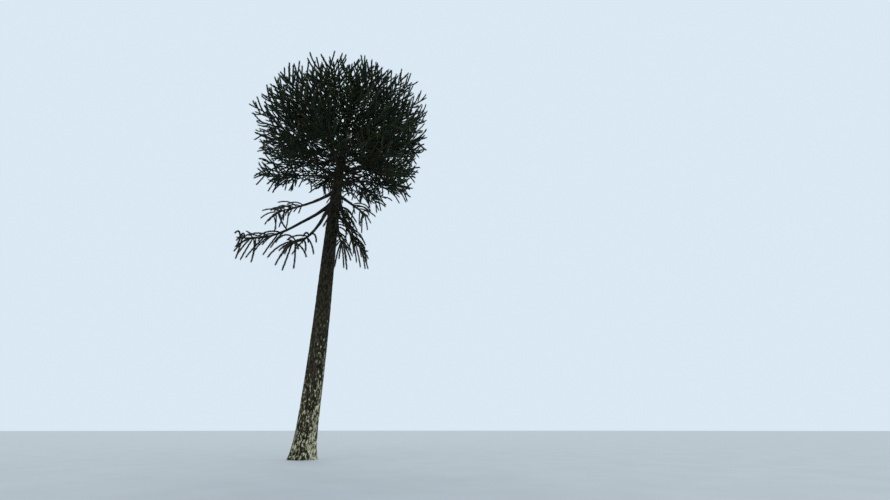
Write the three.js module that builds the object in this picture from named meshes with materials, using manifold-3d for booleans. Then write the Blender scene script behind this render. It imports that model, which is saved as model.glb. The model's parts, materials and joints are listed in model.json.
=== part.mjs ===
// A mature monkey puzzle tree: a tall bare trunk under a rounded crown of rope-like branches.
// Millimetres, +Z up. The origin is the centre of the flat cut under the trunk, at ground level.
// The crown is built in tiers up the trunk. A tier is a ring of masses, each with its own wedge of
// space, and every mass holds a few limbs with sprays of scale leaves on them.

import * as THREE from 'three';
import { mergeVertices } from 'three/addons/utils/BufferGeometryUtils.js';
import Module from 'manifold-3d';

const wasm = await Module();
wasm.setup();

// Driving sizes of the trunk
const trunk = {
  height: 18950, // to its own tip, where the leader's foliage goes on
  footRadius: 468, // without the root flare
  crownFootRadius: 288, // where the lowest boughs leave
  tipRadius: 46,
  crownFootHeight: 13200,
  closing: 1.15, // over 1 makes it taper faster towards the tip
  flare: 0.3, // share by which the roots widen the foot
  flareHeight: 520,
  lobes: 5,
  lobeDepth: 0.09,
  lobeTurn: 0.7, // radians
  oval: 0.04, // share by which the foot is wider one way than the other
  sway: 45, // how far the stem wanders off the plumb line
  swayAcross: 0.6, // of that, at right angles
  swayLength: 15000,
  sides: 16,
  steps: 15,
  stepCrowding: 1.5, // over 1 sets the steps closer near the flare
};

// Driving sizes of the crown
const dome = {
  centreHeight: 17400, // where it is widest
  radius: 5450,
  rise: 1700, // from there up to the top
  drop: 6100, // and down to where the underside would close
  shoulders: 0.42, // under 1 gives the dome broad shoulders
  longSide: 315, // degrees round the trunk to where the boughs are longest
  shortBy: 0.12, // share by which they are shorter on the other side
};
const tilt = { side: 10, slope: 0.17, from: 14300, to: 18300 }; // the dome is higher towards one side
const tierSpacing = 1000; // up the trunk, between the tiers of live foliage
const stagger = 720; // how far the roots of one tier are spread up the trunk
const lowestLiveTier = 14350;
const clearance = 0.3; // between a piece and what carries it
const spaceGap = 12; // between the spaces of two masses

// Tiers, from the old drooping boughs at the bottom to the leader at the top. The angle is where a
// tier's tips lie on the dome, belly is how far its limbs bow upwards on their way out, hang is how
// strongly its sprays hang at their roots, and droop how strongly they bend down after that. Its
// sprayShare scales the length of its sprays. Where a tier has grown unevenly, each of its masses has
// a reach, and maybe a tip height, of its own.
const liveTiers = [
  {
    name: 'low', masses: 8, angle: -31, belly: 60, turn: 9, bough: true, hang: 0.4,
    reaches: [4200, 3300, 1900, 1900, 4400, 4400, 4600, 4600],
    tipHeights: [14000, 14400, 14600, 14600, 13950, 14100, 14200, 14000],
  },
  {
    name: 'middle', masses: 8, angle: -15, belly: -100, turn: 31, bough: false, hang: 0.35,
    reaches: [4750, 3900, 3650, 3950, 4650, 5250, 5300, 5050],
  },
  { name: 'upper', masses: 7, angle: 3, belly: -240, turn: 12, bough: false },
  {
    name: 'high', masses: 7, angle: 34, belly: -260, turn: 37, bough: false, sprayShare: 0.85,
    reaches: [5000, 4650, 4500, 4600, 4850, 4800, 5050],
  },
  { name: 'crest', masses: 5, angle: 64, belly: -200, turn: 5, bough: false, sprayShare: 0.85 },
];
const oldTier = {
  name: 'old', masses: 7, turn: 205, bough: true, attach: 13200, reach: 4200, tipHeight: 12200, belly: -300,
  reaches: [4350, 3350, 1750, 2000, 2300, 2200, 4750],
  tipHeights: [9500, 8800, 9500, 9600, 12700, 12700, 12900],
  hang: 0.9,
  droop: 0.7,
  thickness: 1.25, // of its limbs, beside the live tiers'
};
const leaderTier = {
  name: 'leader', masses: 1, turn: 0, bough: false, attach: trunk.height, reach: 900, tipHeight: 19600,
  belly: 0,
  sprayShare: 0.7,
  thickness: 0.5,
  limbs: 4,
  limbLength: 600,
  lengthFrom: 0.9, // least share of that length, and of the lean
  lengthSpread: 0.2,
  lean: 0.66, // how far a limb leans out for each unit it rises
  curl: 1.4, // over 1 makes a limb lean out more and more
  turnApart: 122, // degrees between its limbs
  sprayFrom: 0.25, // share of a limb where its sprays start
};
const lowestSpaceDrop = 5000; // how far the old boughs' space goes below them

// Limbs and sprays
const limb = {
  massStart: 0.46, // share of a bough's reach where its mass takes over
  rootRadius: 84,
  tipRadius: 28,
  taper: 0.8, // under 1 makes a limb taper faster near its root
  collar: 0.35, // share by which a limb is thicker at its root
  collarFade: 14,
  thinning: 0.55, // how far the limbs' thickness follows the trunk's
  wander: 0.12, // of half the wedge, or of the room in the tier
  sideShare: 0.72, // a side limb's thickness beside the middle one's
  sideSwing: 0.6, // of half the wedge
  sideLift: 0.56, // of the room in the tier
  sideReach: 0.86, // least share of the mass's reach
  sideReachSpread: 0.1,
  forkAt: 0.14, // share of the reach where the side limbs of a mass on the trunk leave
  forkStep: 0.05, // between the first side limb's fork and the second's
  spreadOver: 0.42, // share of the reach in which a side limb has fanned out
  steps: 6,
  middleSides: 4,
  sideSides: 3,
  boughSides: 6,
  boughSteps: 4,
};
const spray = {
  perMiddleLimb: 5,
  perSideLimb: 2,
  perLoneLimb: 9,
  bareUpTo: 0.25, // least share of a middle limb that has no sprays
  longest: 1650,
  shortest: 950,
  lengthFrom: 0.85, // least share of the usual length
  lengthSpread: 0.3,
  rootRadius: 12,
  bodyRadius: 118,
  rootSwell: 1.1, // of the body's radius, near the root
  tipSwell: 0.7, // and near the tip
  steps: 2,
  apart: 150, // least distance between the middle lines of two sprays
  lastShare: 0.86, // where on a limb its last spray stands
  afterFork: 0.15, // where the first one stands on a side limb
  turnOut: 52, // degrees between a spray and its limb at the root
  turnSpread: 16, // degrees by which that varies
  rollSpread: 110, // degrees of the arc round the limb in which sprays stand
  rollBelow: 0.3, // share of that arc below the level of the limb
  forward: 0.5, // how strongly a spray bends on along its limb
  rise: 0.45, // and up
  attempts: 9,
  attemptsBetween: 3, // tries before it is made shorter
  shorterBy: 0.2,
  reachOver: 1.03, // how far past its mass's reach it may go
  oldReachOver: 1.06, // and on an old bough
};

const degrees = Math.PI / 180;
const up = new THREE.Vector3(0, 0, 1);
const fullTurn = 2 * Math.PI;
const goldenShare = 0.618;
const mix = THREE.MathUtils.lerp;
const smooth = (x) => THREE.MathUtils.smoothstep(x, 0, 1);

// The same seed always gives the same tree.
function seededRandom(seed) {
  let state = seed >>> 0;
  return () => {
    state = (state + 0x6d2b79f5) >>> 0;
    let mixed = state;
    mixed = Math.imul(mixed ^ (mixed >>> 15), mixed | 1);
    mixed ^= mixed + Math.imul(mixed ^ (mixed >>> 7), mixed | 61);
    return ((mixed ^ (mixed >>> 14)) >>> 0) / 4294967296;
  };
}

// Tiers, with the place where each leaves the trunk and where its tips come to
function makeTiers() {
  const live = liveTiers.map((tier, i) => ({
    ...tier,
    attach: lowestLiveTier + i * tierSpacing,
    reach: dome.radius * Math.cos(tier.angle * degrees) ** dome.shoulders,
    tipHeight: dome.centreHeight + (tier.angle < 0 ? dome.drop : dome.rise) * Math.sin(tier.angle * degrees),
  }));
  return [oldTier, ...live, leaderTier].map((tier, level) => ({ ...tier, level }));
}
const tiers = makeTiers();

// Raises the crown's upper tiers on one side and lowers them on the other
function tilted(point) {
  const towards = point.x * Math.cos(tilt.side * degrees) + point.y * Math.sin(tilt.side * degrees);
  const share = THREE.MathUtils.smoothstep(point.z, tilt.from, tilt.to);
  return point.setZ(point.z + tilt.slope * share * towards);
}

// Height of a tier's middle surface at a distance from the trunk's axis
function tierHeight(tier, out) {
  const share = out / tier.reach;
  const within = Math.min(share, 1);
  return tier.attach + (tier.tipHeight - tier.attach) * share + 4 * tier.belly * within * (1 - within);
}

function tierFloor(tier, out) {
  if (tier.level === 0) return tierHeight(tier, out) - lowestSpaceDrop;
  return (tierHeight(tiers[tier.level - 1], out) + tierHeight(tier, out)) / 2;
}

function tierCeiling(tier, out) {
  if (tier.level === tiers.length - 1) return Infinity;
  return (tierHeight(tier, out) + tierHeight(tiers[tier.level + 1], out)) / 2;
}

// Room in a tier above its middle surface, or below it
function tierRoom(tier, out, above) {
  const height = tierHeight(tier, out);
  return Math.min(above ? tierCeiling(tier, out) - height : height - tierFloor(tier, out), tierSpacing);
}

// The trunk
function trunkRadius(height, angle = 0) {
  const below = height / trunk.crownFootHeight;
  const above = (height - trunk.crownFootHeight) / (trunk.height - trunk.crownFootHeight);
  const radius = height < trunk.crownFootHeight
    ? mix(trunk.footRadius, trunk.crownFootRadius, below)
    : mix(trunk.crownFootRadius, trunk.tipRadius, above ** trunk.closing);
  const fade = Math.exp(-height / trunk.flareHeight);
  const lobe = trunk.lobeDepth * Math.cos(trunk.lobes * angle + trunk.lobeTurn);
  const oval = trunk.oval * Math.cos(2 * angle);
  return radius * (1 + fade * (trunk.flare + lobe + oval));
}

function trunkCentre(height) {
  const phase = fullTurn * height / trunk.swayLength;
  const across = trunk.swayAcross * trunk.sway * (1 - Math.cos(phase));
  return new THREE.Vector3(trunk.sway * Math.sin(phase), across, height);
}

class TrunkCurve extends THREE.Curve {
  getPoint(share, target = new THREE.Vector3()) {
    return target.copy(trunkCentre(trunk.height * share ** trunk.stepCrowding));
  }
}

// The middle line of a limb that fans out from the trunk's axis inside its mass's wedge
class LimbCurve extends THREE.Curve {
  constructor({ tier, azimuth, reach, swing, lift, rootLift, sag }) {
    super();
    Object.assign(this, { tier, azimuth, reach, swing, lift, rootLift, sag });
    this.root = trunkCentre(tier.attach + rootLift);
    this.side = new THREE.Vector3(-Math.sin(azimuth), Math.cos(azimuth), 0);
  }

  getPoint(share, target = new THREE.Vector3()) {
    const out = this.reach * share;
    const spread = smooth(share / limb.spreadOver);
    const azimuth = this.azimuth + this.swing * spread;
    const room = tierRoom(this.tier, out, this.lift > 0);
    const lift = this.lift * spread * room + this.rootLift * (1 - spread);
    const height = tierHeight(this.tier, out) + lift - this.sag * share * (2 - share);
    target.set(out * Math.cos(azimuth), out * Math.sin(azimuth), height);
    return target.addScaledVector(this.root.clone().setZ(0), 1 - share);
  }
}

// A side limb leaves the middle limb at a fork and swings over to a line of its own.
class SideCurve extends THREE.Curve {
  constructor(middle, own, fork) {
    super();
    Object.assign(this, { middle, own, fork, side: own.side });
  }

  getPoint(share, target = new THREE.Vector3()) {
    const left = Math.min(Math.max(1 - (share - this.fork) / limb.spreadOver, 0), 1);
    return this.middle.getPoint(share, target).lerp(this.own.getPoint(share), 1 - left * left);
  }
}

// The leader's limbs rise in a narrow vase above the trunk's tip.
class LeaderCurve extends THREE.Curve {
  constructor({ azimuth, lean, length }) {
    super();
    Object.assign(this, { azimuth, lean, length });
    this.root = trunkCentre(trunk.height);
    this.side = new THREE.Vector3(-Math.sin(azimuth), Math.cos(azimuth), 0);
  }

  getPoint(share, target = new THREE.Vector3()) {
    const out = this.length * this.lean * share ** leaderTier.curl;
    target.set(out * Math.cos(this.azimuth), out * Math.sin(this.azimuth), this.length * share);
    return target.add(this.root);
  }
}

// A stretch of another curve, so that a bough and its mass can share one line
class Stretch extends THREE.Curve {
  constructor(curve, from, to) {
    super();
    Object.assign(this, { curve, from, to, side: curve.side });
  }

  getPoint(share, target = new THREE.Vector3()) {
    return this.curve.getPoint(mix(this.from, this.to, share), target);
  }

  getTangent(share, target = new THREE.Vector3()) {
    return this.curve.getTangent(mix(this.from, this.to, share), target);
  }
}

// Bends an upright cylinder or cone of height 1 along a curve, with a radius and a turn for each ring.
function bendAlong(shape, curve, radiusAt, turnAt = () => 0) {
  const position = shape.attributes.position;
  const vertex = new THREE.Vector3();
  for (let i = 0; i < position.count; i += 1) {
    vertex.fromBufferAttribute(position, i);
    const share = vertex.y + 0.5;
    const onRim = Math.hypot(vertex.x, vertex.z) > 1e-6;
    const angle = Math.atan2(vertex.z, vertex.x);
    const along = curve.getTangent(share);
    const first = curve.side.clone().addScaledVector(along, -curve.side.dot(along)).normalize();
    const second = new THREE.Vector3().crossVectors(first, along);
    const radius = onRim ? radiusAt(share, angle) : 0;
    const turned = angle + turnAt(share);
    curve.getPoint(share, vertex);
    vertex.addScaledVector(first, radius * Math.cos(turned));
    vertex.addScaledVector(second, radius * Math.sin(turned));
    tilted(vertex);
    position.setXYZ(i, vertex.x, vertex.y, vertex.z);
  }
  return shape;
}

function solidOf(geometry) {
  const bare = geometry.clone();
  bare.deleteAttribute('normal');
  bare.deleteAttribute('uv');
  const merged = mergeVertices(bare, 1e-3);
  return new wasm.Manifold(new wasm.Mesh({
    numProp: 3,
    vertProperties: merged.attributes.position.array,
    triVerts: new Uint32Array(merged.index.array),
  }));
}

// The largest body of a solid: a scrap that a cut leaves loose is dropped.
function largestBody(solid) {
  const bodies = solid.decompose();
  bodies.sort((a, b) => b.volume() - a.volume());
  return bodies[0];
}

function geometryOf(solid, origin) {
  const mesh = solid.translate([-origin.x, -origin.y, -origin.z]).getMesh();
  const geometry = new THREE.BufferGeometry();
  geometry.setAttribute('position', new THREE.BufferAttribute(mesh.vertProperties, 3));
  geometry.setIndex(new THREE.BufferAttribute(mesh.triVerts, 1));
  geometry.computeVertexNormals();
  return geometry;
}

function trunkSolid(extra = 0) {
  const shape = new THREE.CylinderGeometry(1, 1, 1, trunk.sides, trunk.steps);
  const curve = new TrunkCurve();
  curve.side = new THREE.Vector3(0, 1, 0);
  // The cut at ground level is flat, so the rings are taken level rather than square to the sway.
  curve.getTangent = (share, target = new THREE.Vector3()) => target.copy(up);
  const radiusAt = (share, angle) => trunkRadius(curve.getPoint(share).z, angle) + extra;
  return solidOf(bendAlong(shape, curve, radiusAt));
}
const trunkWithClearance = trunkSolid(clearance / Math.cos(Math.PI / trunk.sides));

// A tapering limb's radius at a share of the way from the trunk's axis to its tip
function limbRadius(share, scale) {
  const collar = 1 + limb.collar * Math.exp(-share * limb.collarFade);
  return scale * mix(limb.rootRadius, limb.tipRadius, share ** limb.taper) * collar;
}

function limbScale(tier) {
  const thinned = mix(1, trunkRadius(tier.attach) / trunk.crownFootRadius, limb.thinning);
  return thinned * (tier.thickness ?? 1);
}

function boughSolid(curve) {
  const shape = new THREE.CylinderGeometry(1, 1, 1, limb.boughSides, limb.boughSteps);
  const stretch = new Stretch(curve, 0, limb.massStart);
  const scale = limbScale(curve.tier);
  return solidOf(bendAlong(shape, stretch, (share) => limbRadius(share * limb.massStart, scale)));
}

// A limb inside a mass ends in a spray of its own, so its last rings swell and then close to a point.
function leafyLimbSolid(curve, from, scale, sides) {
  const shape = new THREE.ConeGeometry(1, 1, sides, limb.steps);
  const radiusAt = (share) => {
    const ringsLeft = Math.round((1 - share) * limb.steps);
    if (ringsLeft === 1) return spray.bodyRadius * 0.75;
    if (ringsLeft === 2) return spray.bodyRadius * 0.9;
    return limbRadius(mix(from, 1, share), scale);
  };
  return solidOf(bendAlong(shape, new Stretch(curve, from, 1), radiusAt));
}

// Whether a ball stays inside the space of a mass
function staysInside(space, point, radius) {
  const out = Math.hypot(point.x, point.y);
  const reachesTo = space.reach * (space.tier.level === 0 ? spray.oldReachOver : spray.reachOver);
  if (out + radius > reachesTo) return false;
  const keep = radius + spaceGap;
  if (point.z - keep < tierFloor(space.tier, out)) return false;
  if (point.z + keep > tierCeiling(space.tier, out)) return false;
  const turned = Math.atan2(point.y, point.x) - space.azimuth;
  const aside = Math.abs(Math.atan2(Math.sin(turned), Math.cos(turned)));
  return out * Math.sin(Math.max(space.halfWedge - aside, 0)) > keep;
}

// A spray is a slim core whose three edges are turned from ring to ring, so that points stand out.
function sprayCurve(root, direction, bend, length) {
  const middle = root.clone().addScaledVector(direction, 0.5 * length);
  const end = middle.clone().addScaledVector(direction.clone().add(bend).normalize(), 0.5 * length);
  const curve = new THREE.QuadraticBezierCurve3(root, middle, end);
  curve.side = new THREE.Vector3().crossVectors(direction, bend).normalize();
  return curve;
}

function spraySolid(curve) {
  const shape = new THREE.ConeGeometry(1, 1, 3, spray.steps);
  const bodyAt = (share) => spray.bodyRadius * mix(spray.rootSwell, spray.tipSwell, share);
  const radiusAt = (share) => (share < 0.01 ? spray.rootRadius : bodyAt(share));
  const turnAt = (share) => Math.round(share * spray.steps) * Math.PI / 3;
  return solidOf(bendAlong(shape, curve, radiusAt, turnAt));
}

const checkedPlaces = [0.22, 0.45, 0.68, 0.9];

// Sprays along one limb. One that would leave the mass's space or touch another is tried again
// on another side of the limb, then shorter, and then skipped.
function spraysOn(curve, space, random, firstShare, count, others) {
  const made = [];
  for (let i = 0; i < count; i += 1) {
    const share = mix(firstShare, spray.lastShare, (i + 0.4 * random()) / (count - 0.6));
    const root = curve.getPoint(share);
    const along = curve.getTangent(share);
    const level = new THREE.Vector3().crossVectors(along, up).normalize();
    const above = new THREE.Vector3().crossVectors(level, along);
    const usual = mix(spray.longest, spray.shortest, share) * (space.tier.sprayShare ?? 1);
    const full = usual * (spray.lengthFrom + spray.lengthSpread * random());
    for (let attempt = 0; attempt < spray.attempts; attempt += 1) {
      const hand = (i + attempt) % 2 ? 1 : -1;
      const roll = (random() - spray.rollBelow) * spray.rollSpread * degrees;
      const turnOut = (spray.turnOut + spray.turnSpread * (random() - 0.5)) * degrees;
      const length = full * (1 - spray.shorterBy * Math.floor(attempt / spray.attemptsBetween));
      const sideways = level.clone().multiplyScalar(hand * Math.cos(roll));
      sideways.addScaledVector(above, Math.sin(roll));
      const direction = along.clone().multiplyScalar(Math.cos(turnOut));
      direction.addScaledVector(sideways, Math.sin(turnOut));
      const bend = along.clone().multiplyScalar(spray.forward).addScaledVector(up, spray.rise);
      if (space.tier.hang) {
        direction.addScaledVector(up, -space.tier.hang * (0.6 + 0.5 * random())).normalize();
        bend.addScaledVector(up, -(space.tier.droop ?? 0));
      }
      const tried = sprayCurve(root, direction, bend, length);
      const points = checkedPlaces.map((place) => tried.getPoint(place));
      const inside = points.every((point) => staysInside(space, point, spray.bodyRadius));
      const free = points.every((point) => others.every((other) => point.distanceTo(other) > spray.apart));
      if (inside && free) {
        made.push(spraySolid(tried));
        others.push(...points);
        break;
      }
    }
  }
  return made;
}

// The limbs of a mass: one in the middle and one to each side, at different heights in the tier. An
// old bough has only the one in the middle left.
function limbsOf(space, random) {
  const raised = random() < 0.5 ? 1 : -1;
  const hands = space.tier.level === 0 ? [0] : [0, -1, 1];
  return hands.map((hand) => {
    const reach = space.reach * (hand ? limb.sideReach + limb.sideReachSpread * random() : 1);
    const swing = space.halfWedge * (hand * limb.sideSwing + limb.wander * (random() - 0.5));
    const lift = limb.sideLift * hand * raised + limb.wander * (random() - 0.5);
    const { tier, azimuth, rootLift, sag } = space;
    return new LimbCurve({ tier, azimuth, reach, swing, lift, rootLift, sag });
  });
}

function spaceOf(tier, index, random) {
  const halfWedge = Math.PI / tier.masses;
  const step = (goldenShare * index) % 1; // keeps neighbours apart
  const azimuth = tier.turn * degrees + 2 * halfWedge * index;
  const onShortSide = (1 - Math.cos(azimuth - dome.longSide * degrees)) / 2;
  const usualReach = tier.reach * (0.93 + 0.12 * random()) * (1 - dome.shortBy * onShortSide);
  const reach = tier.reaches ? tier.reaches[index] : usualReach;
  const sag = tier.tipHeights ? tierHeight(tier, reach) - tier.tipHeights[index] : 0;
  return { tier, halfWedge, azimuth, rootLift: stagger * (step - 0.5), reach, sag };
}

const colours = { bark: 0x5d564a, limb: 0x463f36, foliage: 0x2c3a20, oldFoliage: 0x4d4a38 };
const materials = {
  trunk: new THREE.MeshStandardMaterial({ color: colours.bark, roughness: 0.95, metalness: 0 }),
  bough: new THREE.MeshStandardMaterial({ color: colours.limb, roughness: 0.9, metalness: 0 }),
  foliage: new THREE.MeshStandardMaterial({ color: colours.foliage, roughness: 0.6, metalness: 0 }),
  oldFoliage: new THREE.MeshStandardMaterial({ color: colours.oldFoliage, roughness: 0.8, metalness: 0 }),
};

const tree = new THREE.Group();

function addNode(name, solid, material, origin) {
  const mesh = new THREE.Mesh(geometryOf(largestBody(solid), origin), material);
  mesh.name = name;
  mesh.position.copy(origin);
  tree.add(mesh);
}

// A bough's line is cut where its mass takes over: the bough ends there and the mass's stem starts.
function addBough(name, curve) {
  addNode(name, boughSolid(curve).subtract(trunkWithClearance), materials.bough, curve.root);
}

function addMass(name, tier, index) {
  const random = seededRandom(1000 * (tier.level + 1) + index);
  const space = spaceOf(tier, index, random);
  const [middle, ...fanned] = limbsOf(space, random);
  const speed = middle.getPoint(limb.massStart).distanceTo(middle.getPoint(limb.massStart + 0.01)) / 0.01;
  const start = tier.bough ? limb.massStart + clearance / speed : 0;
  const forks = fanned.map((own, i) => Math.max(start, limb.forkAt) + limb.forkStep * (i + 0.3));
  const sides = fanned.map((own, i) => new SideCurve(middle, own, forks[i]));
  const others = [];
  const scale = limbScale(tier);
  const solids = [leafyLimbSolid(middle, start, scale, limb.middleSides)];
  sides.forEach((side, i) => {
    solids.push(leafyLimbSolid(side, forks[i], limb.sideShare * scale, limb.sideSides));
  });
  [middle, ...sides].forEach((curve, i) => {
    for (let share = 0.3; share < 1; share += 0.05) others.push(curve.getPoint(share));
    const first = i ? forks[i - 1] + spray.afterFork : Math.max(start, spray.bareUpTo) + 0.06;
    const onMiddle = sides.length ? spray.perMiddleLimb : spray.perLoneLimb;
    const count = i ? spray.perSideLimb : onMiddle;
    solids.push(...spraysOn(curve, space, random, first, count, others));
  });
  if (tier.bough) addBough(name.replace('foliage', 'bough'), middle);
  const whole = wasm.Manifold.union(solids).subtract(trunkWithClearance);
  const material = tier.level === 0 ? materials.oldFoliage : materials.foliage;
  addNode(name, whole, material, tilted(middle.getPoint(start)));
}

function addLeader() {
  const random = seededRandom(9000);
  const tier = tiers[tiers.length - 1];
  const space = { tier, halfWedge: Math.PI, azimuth: 0, reach: tier.reach };
  const others = [];
  const solids = [];
  for (let i = 0; i < tier.limbs; i += 1) {
    const lean = i ? tier.lean * (tier.lengthFrom + tier.lengthSpread * random()) : 0;
    const sideLength = i ? tier.limbLength * (tier.lengthFrom + tier.lengthSpread * random()) : 0;
    const length = i ? sideLength : tier.tipHeight - trunk.height;
    const curve = new LeaderCurve({ azimuth: i * tier.turnApart * degrees, lean, length });
    solids.push(leafyLimbSolid(curve, 0, tier.thickness, limb.sideSides));
    solids.push(...spraysOn(curve, space, random, tier.sprayFrom, 1, others));
  }
  const raised = trunkWithClearance.translate([0, 0, clearance]);
  const whole = wasm.Manifold.union(solids).subtract(trunkWithClearance).subtract(raised);
  addNode('leader_foliage', whole, materials.foliage, trunkCentre(trunk.height));
}

addNode('trunk', trunkSolid(), materials.trunk, new THREE.Vector3());
tiers.slice(0, -1).forEach((tier) => {
  for (let index = 0; index < tier.masses; index += 1) {
    addMass(`${tier.name}_foliage_${index + 1}`, tier, index);
  }
});
addLeader();

export default tree;
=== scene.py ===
import json
import math

import bmesh
import bpy
import numpy as np
from mathutils import Matrix, Vector

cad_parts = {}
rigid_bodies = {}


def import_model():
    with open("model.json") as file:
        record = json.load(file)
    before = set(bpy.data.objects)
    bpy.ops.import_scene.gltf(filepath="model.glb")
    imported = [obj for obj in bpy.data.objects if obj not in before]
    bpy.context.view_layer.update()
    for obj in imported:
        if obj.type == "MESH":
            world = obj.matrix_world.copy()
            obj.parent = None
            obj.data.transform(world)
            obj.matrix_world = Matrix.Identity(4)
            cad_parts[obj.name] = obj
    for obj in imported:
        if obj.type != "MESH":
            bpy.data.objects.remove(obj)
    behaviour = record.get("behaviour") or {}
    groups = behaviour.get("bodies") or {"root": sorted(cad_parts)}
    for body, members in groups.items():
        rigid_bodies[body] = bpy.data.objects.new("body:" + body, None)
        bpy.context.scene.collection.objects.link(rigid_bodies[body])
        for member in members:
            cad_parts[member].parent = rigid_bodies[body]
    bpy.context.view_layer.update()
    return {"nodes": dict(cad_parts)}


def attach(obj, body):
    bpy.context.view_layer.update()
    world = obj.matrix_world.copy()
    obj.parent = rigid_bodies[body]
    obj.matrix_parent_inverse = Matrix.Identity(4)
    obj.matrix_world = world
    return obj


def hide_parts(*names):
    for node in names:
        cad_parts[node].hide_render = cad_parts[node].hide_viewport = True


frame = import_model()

# A mature monkey puzzle tree, in metres, +Z up, with the origin at the middle of the trunk's foot.
# The limbs are grown by the same seeded rule as the solids, and the ropes of leaves go on from them.

fullTurn = 2 * math.pi
scene = bpy.context.scene
print("frame loaded:", len(frame["nodes"]), "nodes")


# The view. The lean of the trunk in the photograph gives the pitch and the lens.
view = {
    "imageWidth": 890,
    "focalPixels": 400,
    "sensor": 36.0,
    "pitch": 24.2,  # degrees above the horizon
    "distance": 20.0,  # along the ground to the trunk
    "treeAside": 17.55,  # degrees from the trunk to the middle of the picture
    "eyeHeight": 1.15,
    "farthest": 2000,
}


def makeCamera():
    data = bpy.data.cameras.new("camera")
    data.sensor_width = view["sensor"]
    data.lens = view["sensor"] * view["focalPixels"] / view["imageWidth"]
    data.clip_end = view["farthest"]
    camera = bpy.data.objects.new("camera", data)
    aside = math.radians(view["treeAside"])
    across, back = view["distance"] * math.sin(aside), view["distance"] * math.cos(aside)
    camera.location = (across, -back, view["eyeHeight"])
    camera.rotation_euler = (math.radians(90 + view["pitch"]), 0, 0)
    scene.collection.objects.link(camera)
    scene.camera = camera


makeCamera()


# Materials
class Wire:
    # a number on its way through a material, where each sign adds a Math node
    def __init__(self, finish, socket):
        self.finish = finish
        self.socket = socket

    def __add__(self, other):
        return self.finish.maths("ADD", self, other)

    def __radd__(self, other):
        return self.finish.maths("ADD", other, self)

    def __sub__(self, other):
        return self.finish.maths("SUBTRACT", self, other)

    def __rsub__(self, other):
        return self.finish.maths("SUBTRACT", other, self)

    def __mul__(self, other):
        return self.finish.maths("MULTIPLY", self, other)

    def __rmul__(self, other):
        return self.finish.maths("MULTIPLY", other, self)


class Finish:
    # one material, from the dictionary of its look
    def __init__(self, name, look):
        self.look = look
        self.material = bpy.data.materials.new(name)
        self.material.use_nodes = True
        self.tree = self.material.node_tree
        self.tree.nodes.clear()
        self.shader = self.tree.nodes.new("ShaderNodeBsdfPrincipled")
        output = self.tree.nodes.new("ShaderNodeOutputMaterial")
        self.tree.links.new(self.shader.outputs["BSDF"], output.inputs["Surface"])
        self.shader.inputs["Metallic"].default_value = 0.0
        self.shader.inputs["Specular IOR Level"].default_value = look["gloss"]
        self.place = self.node("ShaderNodeTexCoord", {}, {}, "Object")

    def put(self, socket, value):
        if isinstance(value, Wire):
            self.tree.links.new(value.socket, socket)
        elif isinstance(value, (tuple, list)) and socket.type == "RGBA":
            socket.default_value = (*value[:3], 1)
        else:
            socket.default_value = value

    def node(self, kind, settings, sockets, out=0):
        made = self.tree.nodes.new(kind)
        for word, value in settings.items():
            setattr(made, word, value)
        for word, value in sockets.items():
            found = [socket for socket in made.inputs if socket.enabled and socket.name == word]
            for socket, part in zip(found, value if isinstance(value, list) else [value]):
                self.put(socket, part)
        shown = [socket for socket in made.outputs if socket.enabled]
        return Wire(self, shown[out] if isinstance(out, int) else made.outputs[out])

    def maths(self, operation, first, second):
        made = self.tree.nodes.new("ShaderNodeMath")
        made.operation = operation
        self.put(made.inputs[0], first)
        self.put(made.inputs[1], second)
        return Wire(self, made.outputs[0])

    def noise(self, scale, detail=3.0, roughness=0.55, stretch=None):
        place = self.place
        if stretch:
            place = self.node("ShaderNodeMapping", {}, {"Vector": self.place, "Scale": stretch})
        sockets = {"Vector": place, "Scale": scale, "Detail": detail, "Roughness": roughness}
        return self.node("ShaderNodeTexNoise", {}, sockets)

    def step(self, value, edge):
        sockets = {"Value": value, "From Min": edge[0], "From Max": edge[1]}
        return self.node("ShaderNodeMapRange", {"interpolation_type": "SMOOTHSTEP"}, sockets)

    def between(self, factor, first, second):
        sockets = {"Factor": factor, "A": first, "B": second}
        return self.node("ShaderNodeMix", {"data_type": "RGBA"}, sockets)

    def done(self, colour, grain, height=None):
        # the last links: the grain varies the roughness, and a height makes the bump
        least, spread = self.look["roughness"]
        self.put(self.shader.inputs["Base Color"], colour)
        self.put(self.shader.inputs["Roughness"], least + grain * spread)
        if height:
            strength, distance = self.look["bump"]
            sockets = {"Height": height, "Strength": strength, "Distance": distance}
            self.put(self.shader.inputs["Normal"], self.node("ShaderNodeBump", {}, sockets))
        return self.material


# The trunk's bark: plates between dark grooves, worn pale in places, under moss and pale lichen. The
# grooves' darkness is partly their own colour and partly painted shade, and painted shade darkens the stem
# towards the crown.
# An edge is a pair: where its mask starts and where it is full. A cover is how far it hides the rest.
# Roughness is the least of it and what the grain adds, and bump its strength and its depth.
trunkBarkLook = {
    "gloss": 0.12,
    "grain": {"scale": 30, "detail": 5, "roughness": 0.65, "stretch": (1, 1, 0.35)},
    "flakes": {"scale": 13, "detail": 4, "roughness": 0.7, "stretch": (1, 1, 0.4)},
    "patches": {"scale": 1.9, "detail": 3, "roughness": 0.6, "stretch": (1, 1, 0.4)},
    # the grooves' colour: partly their own darker bark and partly painted shade in the recesses
    "groove": (0.008, 0.006, 0.004),
    "grooveEdge": (0.08, 0.6),
    "plate": (0.02, 0.016, 0.01),
    "weathered": (0.13, 0.11, 0.066),
    "weatheredEdge": (0.46, 0.6),
    "flakeShare": 0.6,  # of the weathering; the grain has the rest
    "shade": (0.004, 0.005, 0.003),  # painted shade: darkens the stem towards the crown, which shades it
    "paintedShadeCover": 0.6,
    "roughness": (0.86, 0.12),
    "fineGrain": {"scale": 60, "detail": 4, "roughness": 0.7},
    "fineShare": 0.5,
    "bump": (0.6, 0.014),
}
moss = {
    "colour": (0.06, 0.075, 0.026),
    "patches": {"scale": 1.1},
    "patchEdge": (0.54, 0.7),
    "grainEdge": (0.42, 0.6),
    "cover": 0.6,
}
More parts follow.
